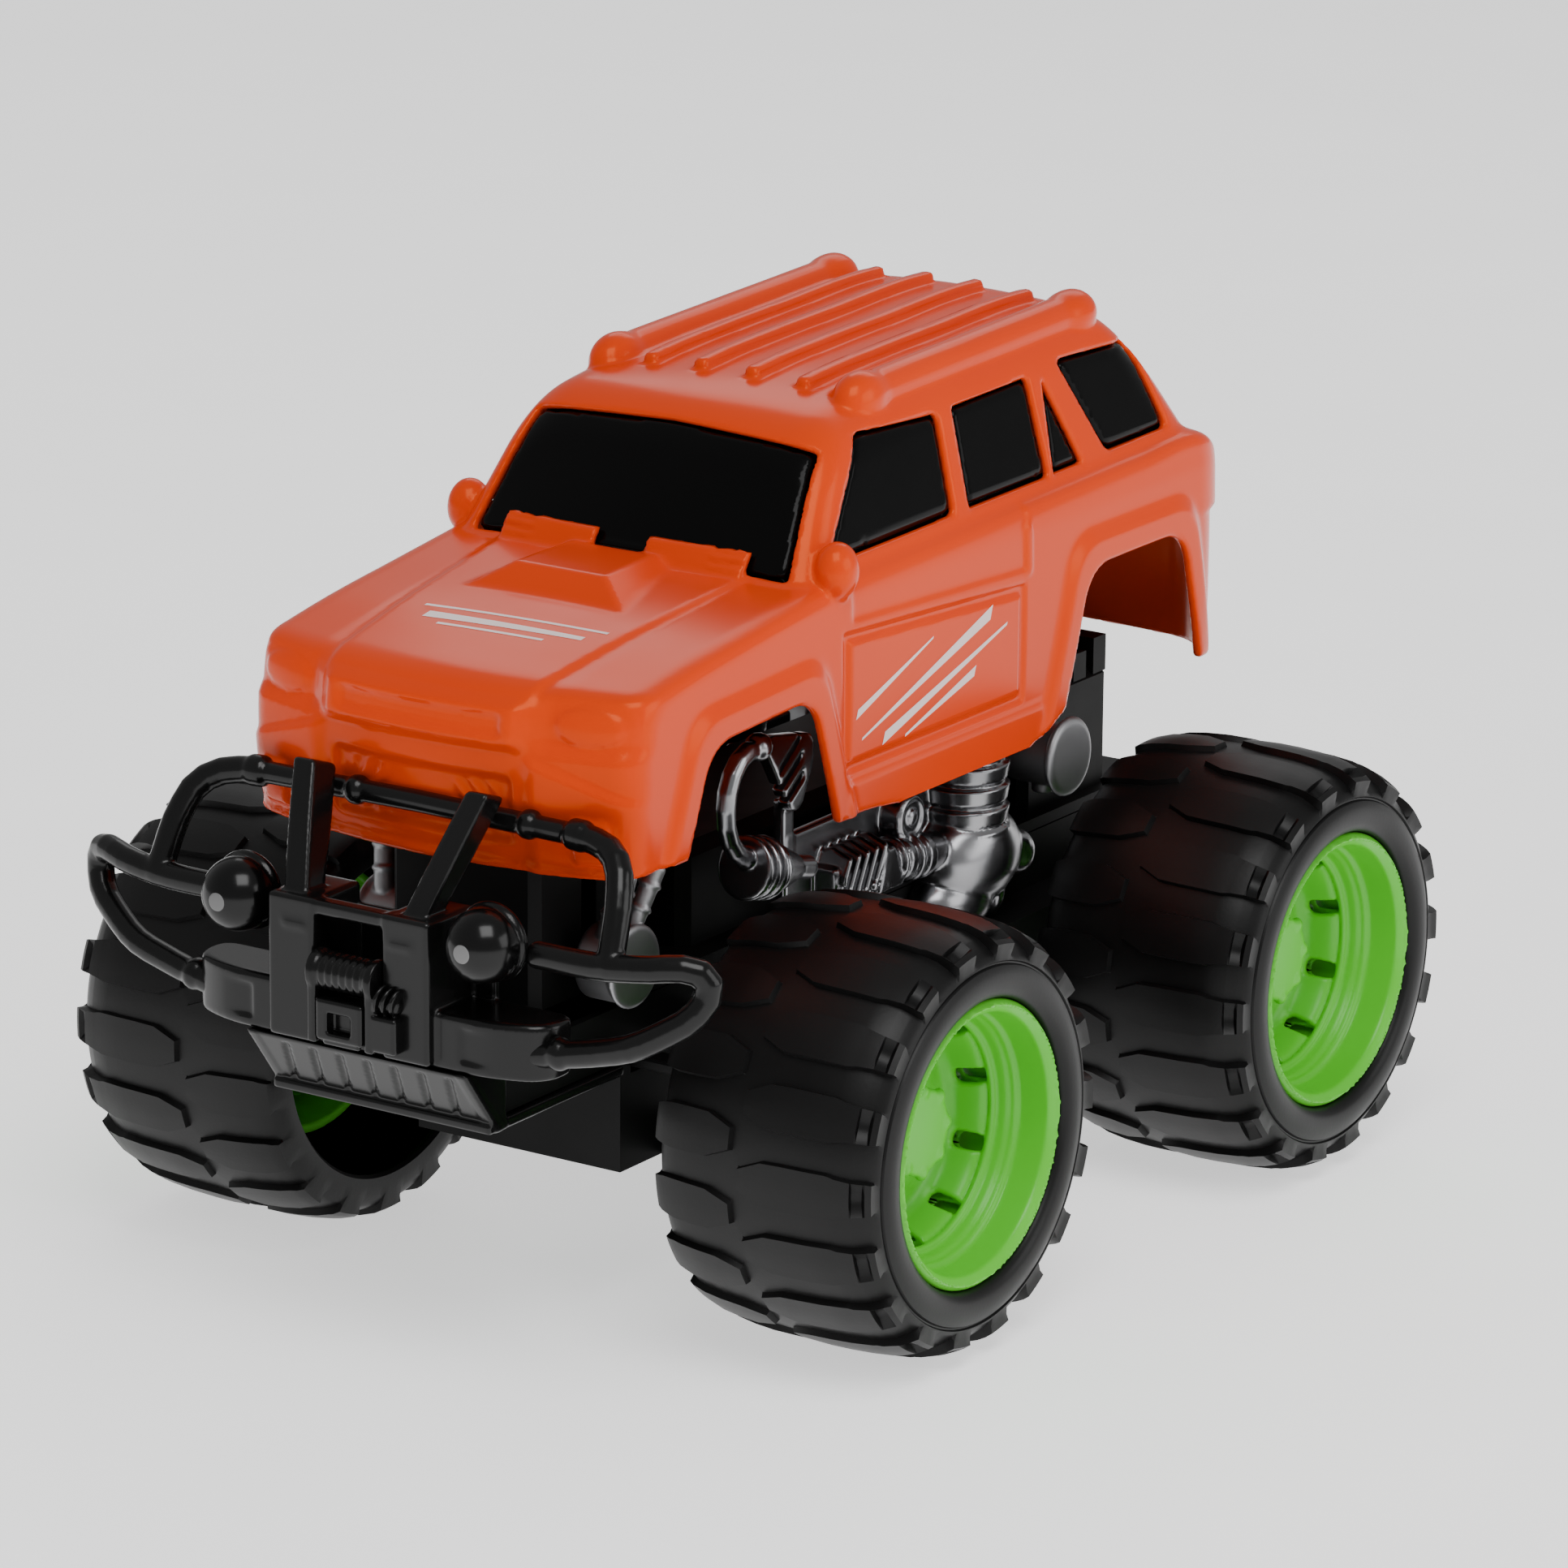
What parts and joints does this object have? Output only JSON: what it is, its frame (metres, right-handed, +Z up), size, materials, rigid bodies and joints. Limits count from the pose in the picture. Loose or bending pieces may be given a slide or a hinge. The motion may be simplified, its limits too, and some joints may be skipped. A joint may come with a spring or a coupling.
{
  "type": "radio controlled monster truck",
  "caption": "Toy monster truck: SUV body shell on a raised chassis, steered front wheels, geared rear axle and wide lugged tyres on deep dish rims.",
  "frame": {"origin": "centre of the bounding box's bottom face, on the ground between the wheels", "axes": "+X the truck's left, -Y its front, +Z up"},
  "size_m": [0.197, 0.268, 0.1836],
  "materials": {
    "body": "gloss",
    "glass": "gloss",
    "black_plastic": "satin",
    "lamp": "gloss",
    "plated": "dark bright plating",
    "steel": "bright",
    "gear_plastic": "matte",
    "battery": "gloss",
    "board": "matte",
    "wire": "satin",
    "tyre": "satin rubber",
    "rim": "gloss"
  },
  "bodies": {
    "chassis": {"body_shell": "body", "window_insert": "glass", "chassis_lower": "black_plastic", "chassis_upper": "black_plastic", "front_bridge": "black_plastic", "front_bumper": "black_plastic", "bull_bar": "black_plastic", "winch": "black_plastic", "front_skid_plate": "black_plastic", "steering_servo": "black_plastic", "gearbox_base": "black_plastic", "gearbox_cover": "black_plastic", "battery_box": "black_plastic", "lamp_left": "lamp", "lamp_right": "lamp", "engine_trim_left": "plated", "engine_trim_right": "plated", "exhaust_pipe_left": "plated", "exhaust_pipe_right": "plated", "front_canister_left": "plated", "front_canister_right": "plated", "rear_canister_left": "plated", "rear_canister_right": "plated", "kingpin_left": "steel", "kingpin_right": "steel", "idler_shaft": "steel", "motor": "steel", "axle_bushing_left": "steel", "axle_bushing_right": "steel", "body_screw_front_left": "steel", "body_screw_front_right": "steel", "body_screw_rear_left": "steel", "body_screw_rear_right": "steel", "battery_1": "battery", "battery_2": "battery", "battery_3": "battery", "receiver_board": "board", "battery_lead": "wire", "motor_lead": "wire"},
    "knuckle_left": {"knuckle_left": "black_plastic", "stub_axle_left": "steel"},
    "knuckle_right": {"knuckle_right": "black_plastic", "stub_axle_right": "steel"},
    "tie_rod": {"tie_rod": "black_plastic"},
    "servo_horn": {"servo_horn": "gear_plastic"},
    "wheel_front_left": {"tyre_front_left": "tyre", "rim_front_left": "rim"},
    "wheel_front_right": {"tyre_front_right": "tyre", "rim_front_right": "rim"},
    "rear_axle": {"rear_axle": "steel", "axle_gear": "gear_plastic", "tyre_rear_left": "tyre", "rim_rear_left": "rim", "tyre_rear_right": "tyre", "rim_rear_right": "rim"},
    "idler": {"idler_gear": "gear_plastic"},
    "motor_rotor": {"motor_pinion": "steel"},
    "battery_door": {"battery_door": "black_plastic", "battery_door_screw": "steel"},
    "power_switch": {"power_switch": "black_plastic"}
  },
  "joints": [
    {"name": "servo_turn", "type": "hinge", "parent": "chassis", "child": "servo_horn", "pos_m": [0, -0.05095, 0.05], "axis": [0, 0, 1], "range_deg": [-18, 18]},
    {"name": "steer_left", "type": "hinge", "parent": "chassis", "child": "knuckle_left", "pos_m": [0.044, -0.05095, 0.045], "axis": [0, 0, 1], "range_deg": [-18, 18]},
    {"name": "steer_right", "type": "hinge", "parent": "chassis", "child": "knuckle_right", "pos_m": [-0.044, -0.05095, 0.045], "axis": [0, 0, 1], "range_deg": [-18, 18]},
    {"name": "tie_rod_slide", "type": "slide", "parent": "chassis", "child": "tie_rod", "axis": [1, 0, 0], "range_m": [-0.0045, 0.0045]},
    {"name": "front_left_spin", "type": "hinge", "parent": "knuckle_left", "child": "wheel_front_left", "pos_m": [0.073, -0.05095, 0.045], "axis": [1, 0, 0], "continuous": true},
    {"name": "front_right_spin", "type": "hinge", "parent": "knuckle_right", "child": "wheel_front_right", "pos_m": [-0.073, -0.05095, 0.045], "axis": [1, 0, 0], "continuous": true},
    {"name": "rear_axle_spin", "type": "hinge", "parent": "chassis", "child": "rear_axle", "pos_m": [0, 0.08905, 0.045], "axis": [1, 0, 0], "continuous": true},
    {"name": "idler_spin", "type": "hinge", "parent": "chassis", "child": "idler", "pos_m": [0.005, 0.07578, 0.052], "axis": [1, 0, 0], "continuous": true},
    {"name": "motor_spin", "type": "hinge", "parent": "chassis", "child": "motor_rotor", "pos_m": [0.005, 0.06078, 0.052], "axis": [1, 0, 0], "continuous": true},
    {"name": "battery_door_hinge", "type": "hinge", "parent": "chassis", "child": "battery_door", "pos_m": [0, 0.00525, 0.0322], "axis": [-1, 0, 0], "range_deg": [0, 45]},
    {"name": "power_switch_slide", "type": "slide", "parent": "chassis", "child": "power_switch", "axis": [1, 0, 0], "range_m": [0, 0.005]}
  ],
  "couplings": [
    {"joint": "steer_left", "follows": "servo_turn", "ratio": 1},
    {"joint": "steer_right", "follows": "servo_turn", "ratio": 1},
    {"joint": "tie_rod_slide", "follows": "servo_turn", "m_per_rad": 0.014},
    {"joint": "idler_spin", "follows": "rear_axle_spin", "ratio": -2},
    {"joint": "motor_spin", "follows": "rear_axle_spin", "ratio": 5.5}
  ]
}
